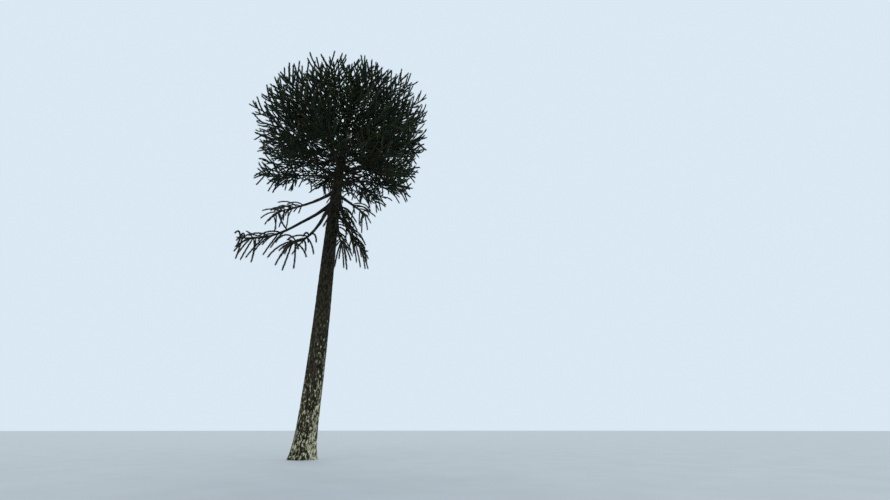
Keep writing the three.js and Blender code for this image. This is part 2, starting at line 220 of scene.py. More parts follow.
lichen = {
    "colour": (0.4, 0.37, 0.2),
    "pale": (0.9, 0.86, 0.58),
    "paleEdge": (0.35, 0.65),
    "heights": (0.0, 12.0),  # metres up the trunk where it thins out
    "side": (0.95, 0.3, 0.0),  # where it is thickest
    "sideEdge": (0.02, 0.4),
    "everywhere": 0.115,
    "inPatches": 0.15,
    "nearFoot": 0.22,
    "onSide": 0.05,
    "edge": (0.91, 0.99),
    "plateEdge": (0.2, 0.6),  # it keeps out of the grooves
    "cover": 0.92,
}


def makeTrunkBark():
    look = trunkBarkLook
    finish = Finish("trunk_bark", look)
    # relief is 0 in the grooves and 1 on the plates
    relief = finish.node("ShaderNodeAttribute", {"attribute_name": "relief"}, {}, "Fac")
    height = finish.node("ShaderNodeSeparateXYZ", {}, {"Vector": finish.place}, "Z")
    sides = {"Vector": [finish.place, lichen["side"]]}
    toSide = finish.node("ShaderNodeVectorMath", {"operation": "DOT_PRODUCT"}, sides, "Value")
    grain, flakes, patches = [finish.noise(**look[name]) for name in ("grain", "flakes", "patches")]
    weathering = flakes * look["flakeShare"] + grain * (1 - look["flakeShare"])
    worn = finish.step(weathering, look["weatheredEdge"])
    plate = finish.between(worn, look["plate"], look["weathered"])
    # the bark darkens in the grooves: partly its own colour, partly painted shade in the recesses
    bark = finish.between(finish.step(relief, look["grooveEdge"]), look["groove"], plate)
    low = 1 - finish.step(height, lichen["heights"])
    mossPatches = finish.step(finish.noise(**moss["patches"]), moss["patchEdge"])
    mossy = mossPatches * finish.step(grain, moss["grainEdge"]) * low
    withMoss = finish.between(mossy * moss["cover"], bark, moss["colour"])
    # painted shade: the stem grows darker with height towards the crown, which shades it
    withPaintedShade = finish.between((1 - low) * look["paintedShadeCover"], withMoss, look["shade"])
    onSide = finish.step(toSide, lichen["sideEdge"]) * lichen["onSide"]
    nearFoot = low * low * lichen["nearFoot"]
    amount = flakes + patches * lichen["inPatches"] + nearFoot + onSide + lichen["everywhere"]
    grown = finish.step(amount, lichen["edge"]) * finish.step(relief, lichen["plateEdge"])
    lichenTone = finish.between(finish.step(grain, lichen["paleEdge"]), lichen["colour"], lichen["pale"])
    colour = finish.between(grown * lichen["cover"], withPaintedShade, lichenTone)
    return finish.done(colour, grain, finish.noise(**look["fineGrain"]) * look["fineShare"] + grain)


boughBarkLook = {
    "gloss": 0.12,
    "scales": {"scale": 34, "detail": 4, "roughness": 0.6},
    "scaleEdge": (0.35, 0.7),
    "gap": (0.01, 0.008, 0.006),
    "scale": (0.032, 0.028, 0.02),
    "patches": {"scale": 3.5},
    "patchEdge": (0.56, 0.7),
    "patch": (0.08, 0.08, 0.06),
    "patchCover": 0.5,
    "roughness": (0.82, 0.15),
    "bump": (0.6, 0.01),
}


def makeBoughBark():
    look = boughBarkLook
    finish = Finish("bough_bark", look)
    scales = finish.noise(**look["scales"])
    patches = finish.step(finish.noise(**look["patches"]), look["patchEdge"])
    dark = finish.between(finish.step(scales, look["scaleEdge"]), look["gap"], look["scale"])
    return finish.done(finish.between(patches * look["patchCover"], dark, look["patch"]), scales, scales)


twigBarkLook = {
    "gloss": 0.12,
    "grain": {"scale": 45},
    "grainEdge": (0.35, 0.65),
    "dark": (0.012, 0.017, 0.007),
    "pale": (0.03, 0.032, 0.013),
    "roughness": (0.75, 0.2),
    "bump": (0.4, 0.005),
}


def makeTwigBark():
    look = twigBarkLook
    finish = Finish("twig_bark", look)
    grain = finish.noise(**look["grain"])
    colour = finish.between(finish.step(grain, look["grainEdge"]), look["dark"], look["pale"])
    return finish.done(colour, grain, grain)


# Each rope of leaves gets one of these shades. The numbers are how often live and old ropes take it.
leafShades = {
    "deep_green": {"colour": (0.01, 0.021, 0.009), "live": 6, "old": 2},
    "green": {"colour": (0.018, 0.036, 0.013), "live": 4, "old": 1},
    "fresh_green": {"colour": (0.034, 0.06, 0.02), "live": 1, "old": 0},
    "olive": {"colour": (0.04, 0.042, 0.016), "live": 2, "old": 3},
    "grey_brown": {"colour": (0.04, 0.034, 0.024), "live": 1, "old": 6},
}
leafLook = {
    "gloss": 0.25,
    "wax": {"scale": 9, "detail": 2},
    "waxEdge": (0.35, 0.65),
    "darkest": 0.72,  # beside the shade's own colour
    "palest": 1.35,
    "roughness": (0.48, 0.25),
}


def makeLeaf(name, colour):
    look = leafLook
    finish = Finish("leaf_" + name, look)
    wax = finish.noise(**look["wax"])
    darker, paler = [tuple(share * part for part in colour) for share in (look["darkest"], look["palest"])]
    return finish.done(finish.between(finish.step(wax, look["waxEdge"]), darker, paler), wax)


trunkBark = makeTrunkBark()
boughBark = makeBoughBark()
twigBark = makeTwigBark()
leafMaterials = [makeLeaf(name, shade["colour"]) for name, shade in leafShades.items()]
print("materials made")


# The rule of the solids
trunk = {
    "height": 18.95, "footRadius": 0.468, "crownFootRadius": 0.288, "tipRadius": 0.046,
    "crownFootHeight": 13.2, "closing": 1.15, "flare": 0.3, "flareHeight": 0.52, "lobes": 5,
    "lobeDepth": 0.09, "lobeTurn": 0.7, "oval": 0.04, "sway": 0.045, "swayAcross": 0.6,
    "swayLength": 15.0,
}
dome = {
    "centreHeight": 17.4, "radius": 5.45, "rise": 1.7, "drop": 6.1, "shoulders": 0.42,
    "longSide": 315, "shortBy": 0.12,
    "reachFrom": 0.93,  # least share of a tier's reach
    "reachSpread": 0.12,
}
tilt = {"side": 10, "slope": 0.17, "from": 14.3, "to": 18.3}
tierSpacing = 1.0
stagger = 0.72
goldenShare = 0.618
lowestLiveTier = 14.35
lowestSpaceDrop = 5.0
spaceGap = 0.012

# Where a tier has grown unevenly, each of its masses has values of its own. A limb is bare up to a
# share of its reach, and the spacing is between the roots of its ropes.
liveTiers = [
    {
        "name": "low", "masses": 8, "angle": -31, "belly": 0.06, "turn": 9, "bough": True,
        "reaches": [4.2, 3.3, 1.9, 1.9, 4.4, 4.4, 4.6, 4.6],
        "tipHeights": [14.0, 14.4, 14.6, 14.6, 13.95, 14.1, 14.2, 14.0],
        "bareUpTo": [0.36, 0.36, 0.3, 0.3, 0.46, 0.44, 0.42, 0.4],
        "ropeSpacing": [0.175, 0.175, 0.175, 0.175, 0.23, 0.23, 0.2, 0.2],
    },
    {
        "name": "middle", "masses": 8, "angle": -15, "belly": -0.1, "turn": 31, "bough": False,
        "reaches": [4.75, 3.9, 3.65, 3.95, 4.65, 5.25, 5.3, 5.05],
        "bareUpTo": [0.3, 0.3, 0.32, 0.36, 0.42, 0.44, 0.44, 0.38],
        "ropeSpacing": [0.19, 0.19, 0.2, 0.22, 0.26, 0.24, 0.22, 0.205],
    },
    {
        "name": "upper", "masses": 7, "angle": 3, "belly": -0.24, "turn": 12, "bough": False,
        "bareUpTo": [0.2, 0.2, 0.2, 0.26, 0.26, 0.22, 0.2],
        "ropeSpacing": [0.152, 0.152, 0.152, 0.175, 0.18, 0.16, 0.152],
    },
    {
        "name": "high", "masses": 7, "angle": 34, "belly": -0.26, "turn": 37, "bough": False,
        "sprayShare": 0.85,
        "reaches": [5.0, 4.65, 4.5, 4.6, 4.85, 4.8, 5.05],
    },
    {
        "name": "crest", "masses": 5, "angle": 64, "belly": -0.2, "turn": 5, "bough": False,
        "sprayShare": 0.85,
    },
]
oldTier = {
    "name": "old", "masses": 7, "turn": 205, "bough": True, "attach": 13.2, "reach": 4.2,
    "tipHeight": 12.2, "belly": -0.3, "thickness": 1.25,
    "reaches": [4.35, 3.35, 1.75, 2.0, 2.3, 2.2, 4.75],
    "tipHeights": [9.5, 8.8, 9.5, 9.6, 12.7, 12.7, 12.9],
    "bareUpTo": [0.5, 0.52, 0.2, 0.16, 0.4, 0.4, 0.5],
    "ropeSpacing": [0.12, 0.11, 0.07, 0.065, 0.1, 0.1, 0.12],
}
leaderTier = {
    "name": "leader", "attach": trunk["height"], "reach": 0.9, "tipHeight": 19.6, "belly": 0.0,
    "sprayShare": 0.7, "thickness": 0.5, "limbs": 4, "limbLength": 0.6, "lengthFrom": 0.9,
    "lengthSpread": 0.2, "lean": 0.66, "curl": 1.4, "turnApart": 122,
    "ropesFrom": 0.1,  # share of a limb where its ropes start
}
limb = {
    "massStart": 0.46, "rootRadius": 0.084, "tipRadius": 0.028, "taper": 0.8, "collar": 0.35,
    "collarFade": 14, "thinning": 0.55, "wander": 0.12, "sideShare": 0.72, "sideSwing": 0.6,
    "sideLift": 0.56, "sideReach": 0.86, "sideReachSpread": 0.1, "forkAt": 0.14, "forkStep": 0.05,
    "firstFork": 0.3,  # share of that step below the first side limb
    "spreadOver": 0.42, "bareUpTo": 0.12, "bareAfterFork": 0.1,
}


def mix(first, second, share):
    return first + (second - first) * share


def smooth(x):
    x = np.clip(x, 0, 1)
    return x * x * (3 - 2 * x)


def unit(vector):
    return vector / max(math.sqrt(float(vector @ vector)), 1e-9)


leastLength = 1e-6


def units(vectors):
    return vectors / np.maximum(np.linalg.norm(vectors, axis=-1, keepdims=True), leastLength)


def multiply32(first, second):
    return (first * second) & 0xFFFFFFFF


# The same seed gives the same tree here as in the solids.
def seededRandom(seed):
    state = [seed & 0xFFFFFFFF]

    def draw():
        state[0] = (state[0] + 0x6D2B79F5) & 0xFFFFFFFF
        mixed = state[0]
        mixed = multiply32(mixed ^ (mixed >> 15), mixed | 1)
        mixed ^= (mixed + multiply32(mixed ^ (mixed >> 7), mixed | 61)) & 0xFFFFFFFF
        return (mixed ^ (mixed >> 14)) / 4294967296

    return draw


def makeTiers():
    live = []
    for number, tier in enumerate(liveTiers):
        angle = math.radians(tier["angle"])
        rise = dome["drop"] if tier["angle"] < 0 else dome["rise"]
        live.append({
            **tier,
            "attach": lowestLiveTier + number * tierSpacing,
            "reach": dome["radius"] * math.cos(angle) ** dome["shoulders"],
            "tipHeight": dome["centreHeight"] + rise * math.sin(angle),
        })
    return [{**tier, "level": level} for level, tier in enumerate([oldTier, *live, leaderTier])]


tiers = makeTiers()


# Raises the crown's upper tiers on one side and lowers them on the other
def tilted(points):
    side = math.radians(tilt["side"])
    towards = points[:, 0] * math.cos(side) + points[:, 1] * math.sin(side)
    share = smooth((points[:, 2] - tilt["from"]) / (tilt["to"] - tilt["from"]))
    return points + np.stack([0 * share, 0 * share, tilt["slope"] * share * towards], -1)


# Height of a tier's middle surface at a distance from the trunk's axis
def tierHeight(tier, out):
    share = out / tier["reach"]
    within = np.minimum(share, 1)
    line = tier["attach"] + (tier["tipHeight"] - tier["attach"]) * share
    return line + 4 * tier["belly"] * within * (1 - within)


def tierFloor(tier, out):
    if tier["level"] == 0:
        return tierHeight(tier, out) - lowestSpaceDrop
    return (tierHeight(tiers[tier["level"] - 1], out) + tierHeight(tier, out)) / 2


def tierCeiling(tier, out):
    if tier["level"] == len(tiers) - 1:
        return np.full_like(out, np.inf)
    return (tierHeight(tier, out) + tierHeight(tiers[tier["level"] + 1], out)) / 2


def tierRoom(tier, out, above):
    height = tierHeight(tier, out)
    room = tierCeiling(tier, out) - height if above else height - tierFloor(tier, out)
    return np.minimum(room, tierSpacing)


def trunkRadius(height, angle):
    below = height / trunk["crownFootHeight"]
    above = (height - trunk["crownFootHeight"]) / (trunk["height"] - trunk["crownFootHeight"])
    under = mix(trunk["footRadius"], trunk["crownFootRadius"], below)
    over = mix(trunk["crownFootRadius"], trunk["tipRadius"], np.clip(above, 0, 1) ** trunk["closing"])
    fade = np.exp(-height / trunk["flareHeight"])
    lobes = trunk["lobeDepth"] * np.cos(trunk["lobes"] * angle + trunk["lobeTurn"])
    uneven = lobes + trunk["oval"] * np.cos(2 * angle)
    return np.where(below < 1, under, over) * (1 + fade * (trunk["flare"] + uneven))


def trunkCentre(height):
    phase = fullTurn * height / trunk["swayLength"]
    aside = trunk["sway"] * np.sin(phase)
    across = trunk["swayAcross"] * trunk["sway"] * (1 - np.cos(phase))
    return np.stack([aside, across, height + 0 * aside], axis=-1)


class LimbCurve:
    # the middle line of a limb that fans out from the trunk's axis inside its mass's wedge
    def __init__(self, space, reach, swing, lift):
        self.tier, self.azimuth = space["tier"], space["azimuth"]
        self.rootLift, self.sag = space["rootLift"], space["sag"]
        self.reach, self.swing, self.lift = reach, swing, lift
        self.root = trunkCentre(np.float64(self.tier["attach"] + self.rootLift)) * (1, 1, 0)
        self.side = np.array([-math.sin(self.azimuth), math.cos(self.azimuth), 0.0])

    def at(self, share):
        share = np.asarray(share, dtype=float)
        out = self.reach * share
        spread = smooth(share / limb["spreadOver"])
        azimuth = self.azimuth + self.swing * spread
        room = tierRoom(self.tier, out, self.lift > 0)
        lift = self.lift * spread * room + self.rootLift * (1 - spread)
        height = tierHeight(self.tier, out) + lift - self.sag * share * (2 - share)
        points = np.stack([out * np.cos(azimuth), out * np.sin(azimuth), height], -1)
        return points + self.root * (1 - share)[..., None]


class SideCurve:
    # a side limb leaves the middle one at its fork and swings over to a line of its own
    def __init__(self, middle, own, fork):
        self.middle, self.own, self.fork, self.side = middle, own, fork, own.side

    def at(self, share):
        share = np.asarray(share, dtype=float)
        left = np.clip(1 - (share - self.fork) / limb["spreadOver"], 0, 1)[..., None]
        return mix(self.middle.at(share), self.own.at(share), 1 - left * left)


class LeaderCurve:
    # the leader's limbs rise in a narrow vase above the trunk's tip
    def __init__(self, azimuth, lean, length):
        self.azimuth, self.lean, self.length = azimuth, lean, length
        self.root = trunkCentre(np.float64(trunk["height"]))
        self.side = np.array([-math.sin(azimuth), math.cos(azimuth), 0.0])

    def at(self, share):
        share = np.asarray(share, dtype=float)
        out = self.length * self.lean * np.maximum(share, 0) ** leaderTier["curl"]
        across = [out * math.cos(self.azimuth), out * math.sin(self.azimuth), self.length * share]
        return self.root + np.stack(across, -1)


halfStep = 0.01  # share of a limb


# The step that a curve takes across a place, which gives its direction there
def stepAt(curve, share):
    return curve.at(share + halfStep) - curve.at(share - halfStep)


# A mass's own value, where its tier lists them
def ownValue(tier, word, index, usual):
    return tier[word][index] if word in tier else usual


def spaceOf(tier, index, random):
    halfWedge = math.pi / tier["masses"]
    step = (goldenShare * index) % 1
    azimuth = math.radians(tier["turn"]) + 2 * halfWedge * index
    onShortSide = (1 - math.cos(azimuth - math.radians(dome["longSide"]))) / 2
    varied = tier["reach"] * (dome["reachFrom"] + dome["reachSpread"] * random())
    reach = ownValue(tier, "reaches", index, varied * (1 - dome["shortBy"] * onShortSide))
    usualTip = tierHeight(tier, reach)
    return {
        "tier": tier,
        "halfWedge": halfWedge,
        "azimuth": azimuth,
        "rootLift": stagger * (step - 0.5),
        "reach": reach,
        "sag": usualTip - ownValue(tier, "tipHeights", index, usualTip),
        "bareUpTo": ownValue(tier, "bareUpTo", index, limb["bareUpTo"]),
        "ropeSpacing": ownValue(tier, "ropeSpacing", index, rope["spacing"]),
    }


def limbScale(tier):
    thinned = mix(1, float(trunkRadius(tier["attach"], 0)) / trunk["crownFootRadius"], limb["thinning"])
    return thinned * tier.get("thickness", 1)


# Finer limbs that the solids leave out: each forks off one of the first three and fills the wedge
finerLimbs = [
    {"parent": 0, "swing": -0.3, "fork": 0.34, "lift": -0.45},
    {"parent": 0, "swing": 0.3, "fork": 0.4, "lift": 0.45},
    {"parent": 1, "swing": -0.86, "fork": 0.46, "lift": -0.45},
    {"parent": 2, "swing": 0.86, "fork": 0.5, "lift": 0.45},
]
finer = {"scale": 0.5, "liftSpread": 0.3, "reach": 0.84, "reachSpread": 0.14, "bareAfterFork": 0.08}


# The limbs that the solids have too: a middle one, and unless it is an old bough, two side ones
def mainLimbs(space, raised, random):
    tier = space["tier"]
    curves = []
    for hand in ((0,) if tier["level"] == 0 else (0, -1, 1)):
        share = limb["sideReach"] + limb["sideReachSpread"] * random() if hand else 1
        swing = space["halfWedge"] * (hand * limb["sideSwing"] + limb["wander"] * (random() - 0.5))
        lift = limb["sideLift"] * hand * raised + limb["wander"] * (random() - 0.5)
        curves.append(LimbCurve(space, space["reach"] * share, swing, lift))
    middle, *fanned = curves
    start = limb["massStart"] if tier["bough"] else 0
    scale = limbScale(tier)
    grown = [{"curve": middle, "from": 0, "scale": scale, "first": space["bareUpTo"]}]
    for number, own in enumerate(fanned):
        fork = max(start, limb["forkAt"]) + limb["forkStep"] * (number + limb["firstFork"])
        grown.append({
            "curve": SideCurve(middle, own, fork),
            "from": fork,
            "scale": scale * limb["sideShare"],
            "first": fork + limb["bareAfterFork"],
        })
    return grown


def limbsOf(space, random):
    tier = space["tier"]
    raised = 1 if random() < 0.5 else -1
    grown = mainLimbs(space, raised, random)
    if tier["level"] == 0:
        return grown
    start = limb["massStart"] if tier["bough"] else 0
    for offshoot in finerLimbs:
        lift = raised * offshoot["lift"] + finer["liftSpread"] * (random() - 0.5)
        reach = space["reach"] * (finer["reach"] + finer["reachSpread"] * random())
        own = LimbCurve(space, reach, space["halfWedge"] * offshoot["swing"], lift)
        fork = max(start, offshoot["fork"])
        grown.append({
            "curve": SideCurve(grown[offshoot["parent"]]["curve"], own, fork),
            "from": fork,
            "scale": grown[0]["scale"] * finer["scale"],
            "first": fork + finer["bareAfterFork"],
        })
    return grown


# Ropes: the leafy branchlets, which go on from the limbs by the same rule as the sprays of the solids
rope = {
    "spacing": 0.137,  # along a limb
    "fewest": 3,
    "jitter": 0.5,  # of the spacing
    "crowding": 1.15,  # over 1 sets them closer near the trunk
    "longest": 1.1,
    "shortest": 0.9,
    "lengthFrom": 0.85,  # least share of the usual length
    "lengthSpread": 0.3,
    "apart": 0.105,  # least distance between the middle lines of two ropes
    "overlap": 1.3,  # how far ropes reach into the wedges beside their own
    "widest": 1.5,  # angle from a wedge's edge, past which the edge counts as no nearer
    "tierOverlap": 0.16,  # and into the tiers above and below
    "oldReachOver": 1.06,  # how far they may go past an old bough's reach
    "thickness": 0.055,  # from the middle line to the leaves' tips
    "lastShare": 0.97,  # where on a limb the last one stands
    "turnOut": 66,  # degrees between a rope and its limb, inside the crown
    "turnOutAtTip": 38,
    "turnSpread": 18,
    "lowestRoll": -25,  # degrees from level, round the limb
    "highestRoll": 70,
    "forward": 0.4,
    "rise": 1.2,
    "pullFrom": 0.6,  # least share by which a rope bends or is pulled down
    "pullSpread": 0.8,
    "attempts": 7,
    "shorterBy": 0.15,  # after every second attempt
    "clawFrom": 2,  # share of a limb where its claw starts; past the tip it has none
    "clawRopes": 0,
}
# How the ropes of the lowest tiers hang: the old boughs' like combs, with a claw at the tip
hanging = {
    "old": {
        "apart": 0.15, "longest": 1.45, "shortest": 1.2, "share": 0.96, "pull": 0.15, "bend": 1.7,
        "clawFrom": 0.8, "clawTurn": 95, "leastClawTurn": 0.25, "clawRopes": 6,
    },
    "low": {"longest": 1.0, "shortest": 0.8, "share": 0.5, "pull": 0.5, "bend": 0.9},
    "middle": {"longest": 1.0, "shortest": 0.85, "share": 0.5, "pull": 0.5, "bend": 0.6},
}
measuredPlaces = 12  # along a limb, for its length
ropePlaces = np.array([[0.25], [0.5], [0.75], [1.0]])  # where a rope is kept apart from the others
limbPlaces = np.arange(0.3, 0.9, 0.03)
endPlaces = np.array([0.8, 0.9, 1.0])  # of a limb, for the rope that grows on over its tip
mostPlaces = 4000
farAway = np.full((1, 3), 99.0)
upwards = np.array([0, 0, 1.0])


def emptyPlaces():
    return {"points": np.zeros((mostPlaces, 3)), "count": 0}


def addPlaces(taken, points):
    taken["points"][taken["count"]:taken["count"] + len(points)] = points
    taken["count"] += len(points)


def isClear(taken, points, apart):
    gaps = taken["points"][:taken["count"], None] - points[None]
    return (gaps ** 2).sum(-1).min() > apart ** 2


def staysInside(space, points):
    tier = space["tier"]
    out = np.hypot(points[:, 0], points[:, 1])
    reachOver = rope["oldReachOver"] if tier["level"] == 0 else 1
    if (out + rope["thickness"] > space["reach"] * reachOver).any():
        return False
    keep = rope["thickness"] + spaceGap
    above = tierCeiling(tier, out) + rope["tierOverlap"]
    below = tierFloor(tier, out) - rope["tierOverlap"]
    if (points[:, 2] - keep < below).any() or (points[:, 2] + keep > above).any():
        return False
    turned = np.arctan2(points[:, 1], points[:, 0]) - space["azimuth"]
    aside = np.abs(np.arctan2(np.sin(turned), np.cos(turned)))
    wedge = space["halfWedge"] * rope["overlap"]
    return bool((out * np.sin(np.clip(wedge - aside, 0, rope["widest"])) > keep).all())


def bezier(first, middle, last, share):
    left = 1 - share
    return left ** 2 * first + 2 * share * left * middle + share ** 2 * last


# Where on a limb its ropes stand, and then the extra ones of its claw
def ropeShares(grown, spacing, values, random):
    first, last = grown["first"], rope["lastShare"]
    line = grown["curve"].at(np.linspace(first, last, measuredPlaces))
    length = float(np.linalg.norm(np.diff(line, axis=0), axis=1).sum())
    count = max(rope["fewest"], round(length / spacing))
    places = [(number + rope["jitter"] * random()) / count for number in range(count)]
    shares = [mix(first, last, place ** rope["crowding"]) for place in places]
    return shares + [mix(values["clawFrom"], 1, random()) for _ in range(values["clawRopes"])]


# A place on a limb, with the limb's direction there, the level across it and the way up from it
def seatOn(curve, share):
    along = unit(stepAt(curve, share))
    level = unit(np.cross(along, upwards))
    return {"root": curve.at(share), "along": along, "level": level, "above": np.cross(level, along)}


# How far a rope is turned round its limb from level, and out from it
def ropeTurns(share, claw, values, random):
    roll = math.radians(mix(rope["lowestRoll"], rope["highestRoll"], random()))
    spread = mix(rope["turnOut"], rope["turnOutAtTip"], share ** 2)
    turnOut = math.radians(spread + rope["turnSpread"] * (random() - 0.5))
    if claw:
        roll = fullTurn * random()
        turnOut = math.radians(values["clawTurn"] * mix(values["leastClawTurn"], 1, random()))
    return roll, turnOut


def pulled(strength, random):
    return upwards * (strength * (rope["pullFrom"] + rope["pullSpread"] * random()))


# The three points that a rope is drawn through: it leaves its limb, then bends up, or hangs
def ropeLine(seat, hand, turns, size, values, hangs, claw, random):
    roll, turnOut = turns
    sideways = seat["level"] * (hand * math.cos(roll)) + seat["above"] * math.sin(roll)
    direction = seat["along"] * math.cos(turnOut) + sideways * math.sin(turnOut)
    bend = seat["along"] * rope["forward"] + pulled(rope["rise"], random)
    if hangs:
        direction = unit(direction - pulled(0 if claw else values["pull"], random))
        bend = seat["along"] * rope["forward"] - pulled(values["bend"], random)
    middle = seat["root"] + direction * (0.5 * size)
    end = middle + unit(direction + bend) * (0.5 * size)
    return np.stack([seat["root"], middle, end])


def ropesOn(grown, space, random, taken):
    tier = space["tier"]
    droop = hanging.get(tier["name"], {})
    values = {**rope, **droop}
    made = []
    for number, share in enumerate(ropeShares(grown, space["ropeSpacing"], values, random)):
        seat = seatOn(grown["curve"], share)
        usual = mix(values["longest"], values["shortest"], share) * tier.get("sprayShare", 1)
        full = usual * (rope["lengthFrom"] + rope["lengthSpread"] * random())
        hangs = bool(droop) and random() < droop["share"]
        claw = share > values["clawFrom"]
        for attempt in range(rope["attempts"]):
            hand = 1 if (number + attempt) % 2 else -1
            size = full * (1 - rope["shorterBy"] * (attempt // 2))
            turns = ropeTurns(share, claw, values, random)
            control = ropeLine(seat, hand, turns, size, values, hangs, claw, random)
            points = bezier(*control, ropePlaces)
            if staysInside(space, points) and isClear(taken, points, values["apart"]):
                roll = fullTurn * random()
                made.append({"control": control, "size": size, "roll": roll, "old": tier["level"] == 0})
                addPlaces(taken, points)
                break
    return made


# The rope that grows on over a limb's tip
def endRope(grown, random, old):
    control = grown["curve"].at(endPlaces)
    control[1] = 2 * control[1] - (control[0] + control[2]) / 2
    size = float(np.linalg.norm(control[2] - control[0]))
    return {"control": control, "size": size, "roll": fullTurn * random(), "old": old}


def growMass(tier, index):
    random = seededRandom(1000 * (tier["level"] + 1) + index)
    space = spaceOf(tier, index, random)
    limbs = limbsOf(space, random)
    ropes, taken = [], emptyPlaces()
    for grown in limbs:
        addPlaces(taken, grown["curve"].at(limbPlaces))
    for grown in limbs:
        ropes.append(endRope(grown, random, tier["level"] == 0))
        ropes += ropesOn(grown, space, random, taken)
    return limbs, ropes


leaderSeed = 9000


def growLeader():
    random = seededRandom(leaderSeed)
    tier = tiers[-1]
    space = {"tier": tier, "halfWedge": math.pi, "azimuth": 0, "reach": tier["reach"]}
    space["ropeSpacing"] = rope["spacing"]
    limbs, ropes, taken = [], [], emptyPlaces()
    addPlaces(taken, farAway)
    for number in range(tier["limbs"]):
        lean, length = 0, tier["tipHeight"] - trunk["height"]
        if number > 0:
            lean = tier["lean"] * (tier["lengthFrom"] + tier["lengthSpread"] * random())
            length = tier["limbLength"] * (tier["lengthFrom"] + tier["lengthSpread"] * random())
        curve = LeaderCurve(math.radians(number * tier["turnApart"]), lean, length)
        limbs.append({"curve": curve, "from": 0, "scale": tier["thickness"], "first": tier["ropesFrom"]})
        ropes.append(endRope(limbs[-1], random, False))
        ropes += ropesOn(limbs[-1], space, random, taken)
    return limbs, ropes


# Shapes that are bent along a line: a limb, a twig and three ropes of leaves, upright and 1 high
leafShape = {
    "length": 0.11,
    "lengthAtEnds": 0.75,  # of that, at the ends of a rope
    "halfWidth": 0.03, "widthAtEnds": 0.7,
    "thickness": 0.32,  # beside its width
    "coreRadius": 0.022,
    "lean": 16,  # degrees outwards
    "tip": 0.9,  # share of its length above which it is bent out
    "goldenAngle": 137.5,
    "first": 0.06,  # share of the rope where the leaves start
    "span": 0.9,  # and in which they stand
    "oldSwell": 1.05,  # of the old ropes
}
ropeBody = {"root": 0.55, "opening": 3.5, "tip": 0.5, "closing": 4.5, "end": 1.02}
ropeKinds = [{"size": 0.55, "leaves": 25}, {"size": 0.8, "leaves": 36}, {"size": 1.1, "leaves": 49}]


def arraysOf(shape):
    bmesh.ops.triangulate(shape, faces=shape.faces[:])
    bmesh.ops.recalc_face_normals(shape, faces=shape.faces[:])
    shape.verts.index_update()
    points = np.array([vertex.co[:] for vertex in shape.verts])
    triangles = np.array([[vertex.index for vertex in face.verts] for face in shape.faces])
    shape.free()
    return points, triangles


def tube(sides, rings):
    shape = bmesh.new()
    bmesh.ops.create_cone(shape, cap_ends=True, segments=sides, radius1=1, radius2=1, depth=1,
                          matrix=Matrix.Translation((0, 0, 0.5)))
    upright = [edge for edge in shape.edges if abs(edge.verts[0].co.z - edge.verts[1].co.z) > 0.5]
    bmesh.ops.subdivide_edges(shape, edges=upright, cuts=rings - 1, use_grid_fill=True)
    return arraysOf(shape)


def bodyAt(share):
    # the rope is slimmer at both ends
    opening = ropeBody["root"] + ropeBody["opening"] * share
    closing = ropeBody["tip"] + ropeBody["closing"] * (ropeBody["end"] - share)
    return min(1, opening, closing)


def ropeLeaves(kind):
    shape = bmesh.new()
    leaning = math.tan(math.radians(leafShape["lean"])) * leafShape["length"]
    flat = Matrix.Diagonal((leafShape["thickness"], 1, 1, 1))
    for number in range(kind["leaves"]):
        share = leafShape["first"] + leafShape["span"] * number / (kind["leaves"] - 1)
        body = bodyAt(share)
        length = leafShape["length"] / kind["size"] * mix(leafShape["lengthAtEnds"], 1, body)
        width = leafShape["halfWidth"] * mix(leafShape["widthAtEnds"], 1, body)
        seat = Matrix.Translation((leafShape["coreRadius"] * body, 0, share))
        around = Matrix.Rotation(math.radians(leafShape["goldenAngle"] * number), 4, "Z")
        lifted = Matrix.Translation((0, 0, length / 2))
        made = bmesh.ops.create_cone(shape, cap_ends=True, segments=3, radius1=width, radius2=0,
                                     depth=length, matrix=around @ seat @ flat @ lifted)
        tips = [vertex for vertex in made["verts"] if vertex.co.z > share + leafShape["tip"] * length]
        bmesh.ops.translate(shape, verts=tips, vec=around @ Vector((leaning * body, 0, 0)))
    return arraysOf(shape)


limbShape = tube(8, 22)
finerShape = tube(5, 14)
twigShape = tube(5, 4)
leafShapes = [ropeLeaves(kind) for kind in ropeKinds]


def bendAlong(points, centres, tangents, side, radius):
    # points of an upright shape go to rings round a line: centres and tangents hold one row for each
    first = units(side - (side * tangents).sum(-1, keepdims=True) * tangents)
    second = np.cross(tangents, first)
    return centres + (points[..., 0:1] * first + points[..., 1:2] * second) * radius


wood = {
    "finerBelow": 0.5,  # the scale under which a limb has fewer faces
    "sunk": 0.01,  # how far a side limb starts inside its parent
    "start": 0.02,  # share of a limb where its wood starts
    "end": 0.86,  # and where it ends inside the last rope
    "knots": 0.07, "knotWaves": 38, "knotTwist": 5, "bumps": 0.05, "bumpWaves": 61,
    "twigRadius": 0.03,  # with the leaves' bases that cover it
    "twigTip": 0.6,  # of that, at its tip
}


def limbRadius(share, scale):
    collar = 1 + limb["collar"] * np.exp(-share * limb["collarFade"])
    return scale * mix(limb["rootRadius"], limb["tipRadius"], share ** limb["taper"]) * collar


def limbArrays(grown, number):
    points, triangles = finerShape if grown["scale"] < wood["finerBelow"] else limbShape
    angle = np.arctan2(points[:, 1], points[:, 0])
    start = max(grown["from"] - wood["sunk"], wood["start"])
    share = mix(start, wood["end"], points[:, 2])
    curve = grown["curve"]
    twist = np.cos(2 * angle + wood["knotTwist"] * share)
    knots = 1 + wood["knots"] * np.sin(wood["knotWaves"] * share + number) * twist
    bumps = wood["bumps"] * np.sin(3 * angle + wood["bumpWaves"] * share + number)
    radius = (limbRadius(share, grown["scale"]) * (knots + bumps))[:, None]
    tangents = units(stepAt(curve, share))
    return bendAlong(points, curve.at(share), tangents, curve.side, radius), triangles


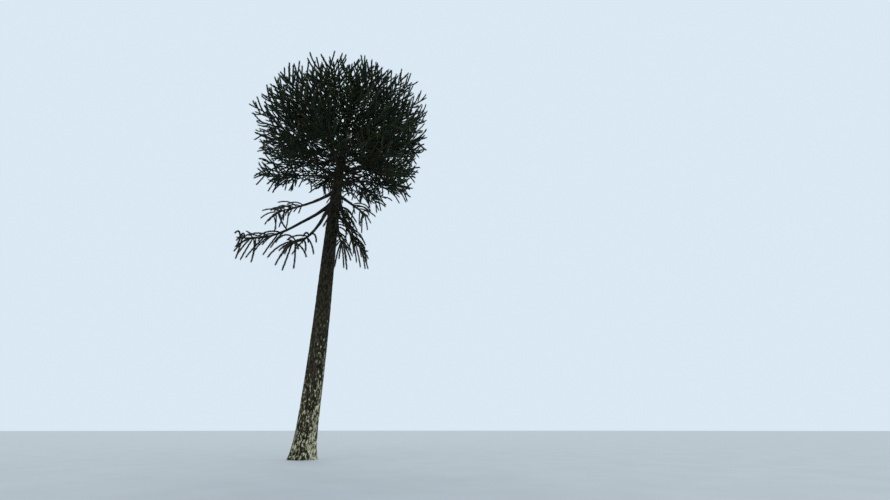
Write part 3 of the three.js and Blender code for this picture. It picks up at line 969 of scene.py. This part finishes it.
def ropeCurves(ropes, share):
    # centres and tangents of all the ropes at all the shares: ropes x shares x 3
    first, middle, last = np.stack([made["control"] for made in ropes], 1)[:, :, None, :]
    share = share[None, :, None]
    tangents = 2 * (1 - share) * (middle - first) + 2 * share * (last - middle)
    return bezier(first, middle, last, share), units(tangents)


def ropeSides(ropes):
    along = units(np.stack([made["control"][2] - made["control"][0] for made in ropes]))
    level = np.cross(along, upwards)
    # the rope at the leader's tip stands upright
    level[np.linalg.norm(level, axis=-1) < leastLength] = (1, 0, 0)
    level = units(level)
    roll = np.array([made["roll"] for made in ropes])[:, None]
    return (level * np.cos(roll) + np.cross(level, along) * np.sin(roll))[:, None, :]


def stacked(shape, ropes, scale):
    # one copy of the shape for each rope, as joined arrays
    points, triangles = shape
    centres, tangents = ropeCurves(ropes, points[:, 2])
    placed = bendAlong(points[None], centres, tangents, ropeSides(ropes), scale)
    offsets = np.arange(len(ropes))[:, None, None] * len(points)
    return placed.reshape(-1, 3), (triangles[None] + offsets).reshape(-1, 3)


def twigArrays(ropes):
    taper = wood["twigRadius"] * mix(1, wood["twigTip"], twigShape[0][:, 2])
    return stacked(twigShape, ropes, taper[None, :, None])


def joinArrays(parts):
    points, triangles, count = [], [], 0
    for somePoints, someTriangles in parts:
        points.append(somePoints)
        triangles.append(someTriangles + count)
        count += len(somePoints)
    return np.concatenate(points), np.concatenate(triangles)


def makePiece(name, arrays, materials, nodes, dealt=None, smoothed=False):
    points, triangles = tilted(arrays[0]), arrays[1]
    mesh = bpy.data.meshes.new(name)
    mesh.vertices.add(len(points))
    mesh.vertices.foreach_set("co", points.astype(np.float32).ravel())
    mesh.loops.add(3 * len(triangles))
    mesh.loops.foreach_set("vertex_index", triangles.astype(np.int32).ravel())
    mesh.polygons.add(len(triangles))
    mesh.polygons.foreach_set("loop_start", np.arange(0, 3 * len(triangles), 3, dtype=np.int32))
    mesh.polygons.foreach_set("use_smooth", np.full(len(triangles), smoothed))
    for material in materials:
        mesh.materials.append(material)
    if dealt is not None:
        mesh.polygons.foreach_set("material_index", dealt.astype(np.int32))
    mesh.update(calc_edges=True)
    mesh.validate()
    piece = bpy.data.objects.new(name, mesh)
    scene.collection.objects.link(piece)
    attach(piece, "root")
    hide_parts(*nodes)
    print(name, len(triangles), "triangles")
    return piece


def makeWood(name, limbs, ropes, boughs, nodes):
    parts = [limbArrays(grown, number) for number, grown in enumerate(limbs)]
    makePiece(f"{name}_limbs", joinArrays(parts), [boughBark], boughs + nodes, smoothed=True)
    makePiece(f"{name}_twigs", twigArrays(ropes), [twigBark], nodes)


def kindOf(made):
    return min(range(len(ropeKinds)), key=lambda number: abs(ropeKinds[number]["size"] - made["size"]))


def dealShades(ropes, random):
    weights = {age: np.cumsum([shade[age] for shade in leafShades.values()]) for age in ("live", "old")}
    shades = []
    for made in ropes:
        bounds = weights["old" if made["old"] else "live"]
        shades.append(int(np.searchsorted(bounds, random() * bounds[-1])))
    return np.array(shades)


def makeLeaves(name, ropes, nodes, random):
    parts, dealt = [], []
    shades = dealShades(ropes, random)
    kinds = np.array([kindOf(made) for made in ropes])
    for number, shape in enumerate(leafShapes):
        chosen = np.flatnonzero(kinds == number)
        if len(chosen) == 0:
            continue
        swell = np.array([leafShape["oldSwell"] if ropes[i]["old"] else 1.0 for i in chosen])
        parts.append(stacked(shape, [ropes[i] for i in chosen], swell[:, None, None]))
        dealt.append(np.repeat(shades[chosen], len(shape[1])))
    makePiece(name, joinArrays(parts), leafMaterials, nodes, np.concatenate(dealt))


mostTriangles = 190000  # in a piece
shadeSeed = 50


def makeTier(tier):
    name = tier["name"]
    slot = "old_foliage" if tier["level"] == 0 else "foliage"
    random = seededRandom(shadeSeed + tier["level"])
    masses = [growMass(tier, index) for index in range(tier["masses"])]
    nodes = [f"{name}_foliage_{index + 1}" for index in range(tier["masses"])]
    boughs = [f"{name}_bough_{index + 1}" for index in range(tier["masses"])] if tier["bough"] else []
    limbs = [grown for grownLimbs, _ in masses for grown in grownLimbs]
    ropes = [made for _, grownRopes in masses for made in grownRopes]
    makeWood(name, limbs, ropes, boughs, nodes)
    triangles = sum(len(leafShapes[kindOf(made)][1]) for made in ropes)
    pieces = math.ceil(triangles / mostTriangles)
    share = math.ceil(len(masses) / pieces)
    for number in range(pieces):
        chosen = slice(number * share, (number + 1) * share)
        someRopes = [made for _, grownRopes in masses[chosen] for made in grownRopes]
        makeLeaves(f"{name}_leaves_{number + 1}", someRopes, nodes[chosen], random)
    return len(ropes)


leaderShadeSeed = 60


def makeLeader():
    limbs, ropes = growLeader()
    nodes = ["leader_foliage"]
    makeWood("leader", limbs, ropes, [], nodes)
    makeLeaves("leader_leaves", ropes, nodes, seededRandom(leaderShadeSeed))
    return len(ropes)


ropeCount = sum(makeTier(tier) for tier in tiers[:-1]) + makeLeader()
print("crown made:", ropeCount, "ropes of leaves")


# The trunk's bark, as flaking plates between grooves. A wave has a size, and how many times it
# repeats round the trunk and up it.
plates = {
    "around": 156,  # faces round the trunk
    "along": 600,  # and up it
    "crowding": 1.15,  # over 1 sets them closer near the foot
    "seed": 7, "perTurn": 24, "height": 0.15, "rowsBelow": 3, "spareRows": 8,
    "rowWaves": [(0.5, 3, 1.9), (0.35, 5, -3.1)],
    "columnWaves": [(0.5, 0, 2.3), (0.4, 1, 6.1)],
    "depth": 0.022, "depthAtTop": 0.008, "grooveWidth": 0.26,
    "shallowest": 0.25,  # depth of a groove that has all but closed
    "grown": 0.55,  # share of the grooves that have
    "grownEdge": 0.2,
    "lowest": 0.55,  # least height of a plate, and how much higher another may stand
    "lift": 0.45, "flaking": 0.14,
}
# The rings of scars that old whorls of boughs left
scars = {
    "spacing": 0.62, "depth": 0.012, "width": 0.09,
    "waves": [(0.12, 3, 0), (0.3, 0, 0.9)],
    "from": 3,  # metres up the trunk, and how far they take to come and to go
    "comeOver": 6, "goOver": 3, "least": 0.6,
}


def withWaves(start, terms, angle, height):
    for size, around, up in terms:
        start = start + size * np.sin(around * angle + up * height)
    return start


def plateRelief(angle, height):
    # each point goes to the nearest plate's middle, and the groove runs where two are as near
    rows = int(trunk["height"] / plates["height"]) + plates["spareRows"]
    drawn = np.random.default_rng(plates["seed"]).random((plates["perTurn"], rows, 4))
    wander = withWaves(0, plates["rowWaves"], angle, height)
    upRows = height / plates["height"] + wander + plates["rowsBelow"]
    across = withWaves(angle / fullTurn * plates["perTurn"], plates["columnWaves"], angle, height)
    nearest, second = np.full(angle.shape, np.inf), np.full(angle.shape, np.inf)
    lifted, closing = np.zeros(angle.shape), np.zeros(angle.shape)
    for aside in (-1, 0, 1):
        for over in (-1, 0, 1):
            column = np.floor(across).astype(int) + aside
            row = np.floor(upRows).astype(int) + over
            own = drawn[column % plates["perTurn"], row]
            gap = np.hypot(across - column - own[:, 0], upRows - row - own[:, 1])
            closer = gap < nearest
            middling = ~closer & (gap < second)
            between = closing * 0.5 + own[:, 3] * 0.5
            closing = np.where(closer, between, np.where(middling, own[:, 3], closing))
            second = np.where(closer, nearest, np.minimum(second, gap))
            lifted = np.where(closer, own[:, 2], lifted)
            nearest = np.minimum(nearest, gap)
    edge = smooth((second - nearest) / plates["grooveWidth"])
    opened = smooth((closing - plates["grown"]) / plates["grownEdge"])
    flaking = plates["flaking"] * np.sin(31 * angle + 9 * height) * np.sin(17 * height + 3 * angle)
    grooved = 1 - (1 - edge) * mix(plates["shallowest"], 1, opened)
    return np.clip(grooved * (plates["lowest"] + plates["lift"] * lifted) + flaking, 0, 1)


def scarRelief(angle, height):
    phase = withWaves(height / scars["spacing"], scars["waves"], angle, height)
    ring = np.exp(-((phase % 1 - 0.5) / scars["width"]) ** 2)
    ring = ring * smooth((height - scars["from"]) / scars["comeOver"])
    uneven = scars["least"] + (1 - scars["least"]) * np.sin(5 * angle + 2 * height)
    return scars["depth"] * ring * uneven * smooth((trunk["height"] - height) / scars["goOver"])


def inOneOrder(points, triangles):
    # the spin and the fill leave points and faces in another order on the next run
    order = np.lexsort(points.T)
    triangles = np.argsort(order)[triangles]
    lowest = triangles.argmin(1)[:, None]
    triangles = np.take_along_axis(triangles, (lowest + np.arange(3)) % 3, 1)
    return points[order], triangles[np.lexsort(triangles.T)]


def makeTrunk():
    shape = bmesh.new()
    line = [shape.verts.new((1, 0, 0)), shape.verts.new((1, 0, 1))]
    edge = shape.edges.new(line)
    bmesh.ops.subdivide_edges(shape, edges=[edge], cuts=plates["along"] - 1)
    bmesh.ops.spin(shape, geom=shape.verts[:] + shape.edges[:], cent=(0, 0, 0), axis=(0, 0, 1),
                   angle=fullTurn, steps=plates["around"], use_merge=True)
    bmesh.ops.holes_fill(shape, edges=[edge for edge in shape.edges if edge.is_boundary], sides=0)
    points, triangles = inOneOrder(*arraysOf(shape))
    angle = np.arctan2(points[:, 1], points[:, 0]) % fullTurn
    height = trunk["height"] * points[:, 2] ** plates["crowding"]
    relief = plateRelief(angle, height)
    depth = mix(plates["depth"], plates["depthAtTop"], height / trunk["height"])
    radius = trunkRadius(height, angle) - depth * (1 - relief) + scarRelief(angle, height)
    across = np.stack([radius * np.cos(angle), radius * np.sin(angle), 0 * radius], -1)
    arrays = (trunkCentre(height) + across, triangles)
    piece = makePiece("trunk_bark", arrays, [trunkBark], ["trunk"], smoothed=True)
    shade = piece.data.attributes.new("relief", "FLOAT", "POINT")
    shade.data.foreach_set("value", relief.astype(np.float32))


makeTrunk()
print("trunk made")


# A plain pale floor and soft light
studio = {
    "floorRadius": 600,
    "floorSides": 96,
    "gloss": 0.5,
    "cloud": {"scale": 0.6, "detail": 2},
    "cloudEdge": (0.2, 0.8),
    "floorDark": (0.56, 0.57, 0.57),
    "floorPale": (0.6, 0.61, 0.61),
    "roughness": (0.9, 0.05),
    "sky": (0.7, 0.81, 0.9),
    "skyStrength": 1.0,
    "sunStrength": 0.45,
    "sunSize": 25,  # degrees, for soft shadows
    "sunFrom": (35, -160),  # degrees from overhead, and round the tree
}


def makeFloor():
    shape = bmesh.new()
    bmesh.ops.create_circle(shape, cap_ends=True, segments=studio["floorSides"],
                            radius=studio["floorRadius"])
    mesh = bpy.data.meshes.new("floor")
    shape.to_mesh(mesh)
    shape.free()
    finish = Finish("pale_floor", studio)
    cloud = finish.noise(**studio["cloud"])
    cloudy = finish.step(cloud, studio["cloudEdge"])
    tone = finish.between(cloudy, studio["floorDark"], studio["floorPale"])
    mesh.materials.append(finish.done(tone, cloud))
    floor = bpy.data.objects.new("floor", mesh)
    scene.collection.objects.link(floor)


def makeLight():
    world = bpy.data.worlds.new("studio")
    world.use_nodes = True
    background = world.node_tree.nodes["Background"]
    background.inputs["Color"].default_value = (*studio["sky"], 1)
    background.inputs["Strength"].default_value = studio["skyStrength"]
    scene.world = world
    scene.view_settings.view_transform = "Standard"
    lamp = bpy.data.lights.new("soft_light", "SUN")
    lamp.energy = studio["sunStrength"]
    lamp.angle = math.radians(studio["sunSize"])
    light = bpy.data.objects.new("soft_light", lamp)
    fromOverhead, aroundTree = studio["sunFrom"]
    light.rotation_euler = (math.radians(fromOverhead), 0, math.radians(aroundTree))
    scene.collection.objects.link(light)


makeFloor()
makeLight()
print("floor and light made")
